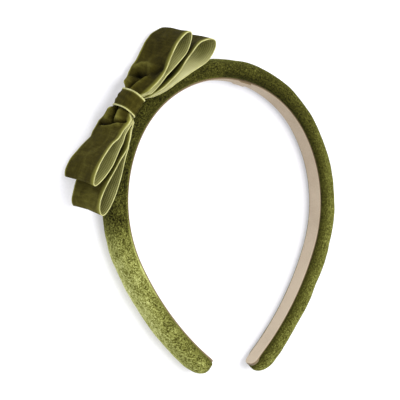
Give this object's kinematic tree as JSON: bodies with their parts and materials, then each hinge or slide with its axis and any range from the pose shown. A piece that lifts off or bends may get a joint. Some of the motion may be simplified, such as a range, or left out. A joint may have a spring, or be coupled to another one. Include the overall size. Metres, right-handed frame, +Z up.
{
  "type": "padded headband",
  "caption": "Padded velvet headband, open at the back, with a beige lining and a flat layered ribbon bow with a wrapped centre on one side.",
  "frame": {"origin": "centre of the footprint, on the surface the headband lies on", "axes": "+Y from the open ends towards the crown, +X towards the plain side away from the bow, +Z up, square to the band's plane"},
  "size_m": [0.1502, 0.1762, 0.0292],
  "materials": {
    "core_plastic": "smooth moulded strip",
    "tape": "clear double-sided film",
    "foam": "open-cell foam",
    "band_velvet": "crushed-look olive velvet with a short pile",
    "glue": "clear hot-melt",
    "lining_cloth": "beige suede-cloth ribbon",
    "felt": "olive felt",
    "ribbon_velvet": "olive velvet ribbon, pale woven edges and reverse",
    "thread": "olive sewing thread"
  },
  "bodies": {
    "root": {"core_band": "core_plastic", "foam_tape": "tape", "foam_pad": "foam", "velvet_cover": "band_velvet", "lining_glue": "glue", "lining_long": "lining_cloth", "lining_short": "lining_cloth", "bow_base_pad": "felt", "bow_under_ribbon": "ribbon_velvet", "bow_top_ribbon": "ribbon_velvet", "bow_binding_thread": "thread", "bow_centre_wrap": "ribbon_velvet"}
  },
  "joints": []
}
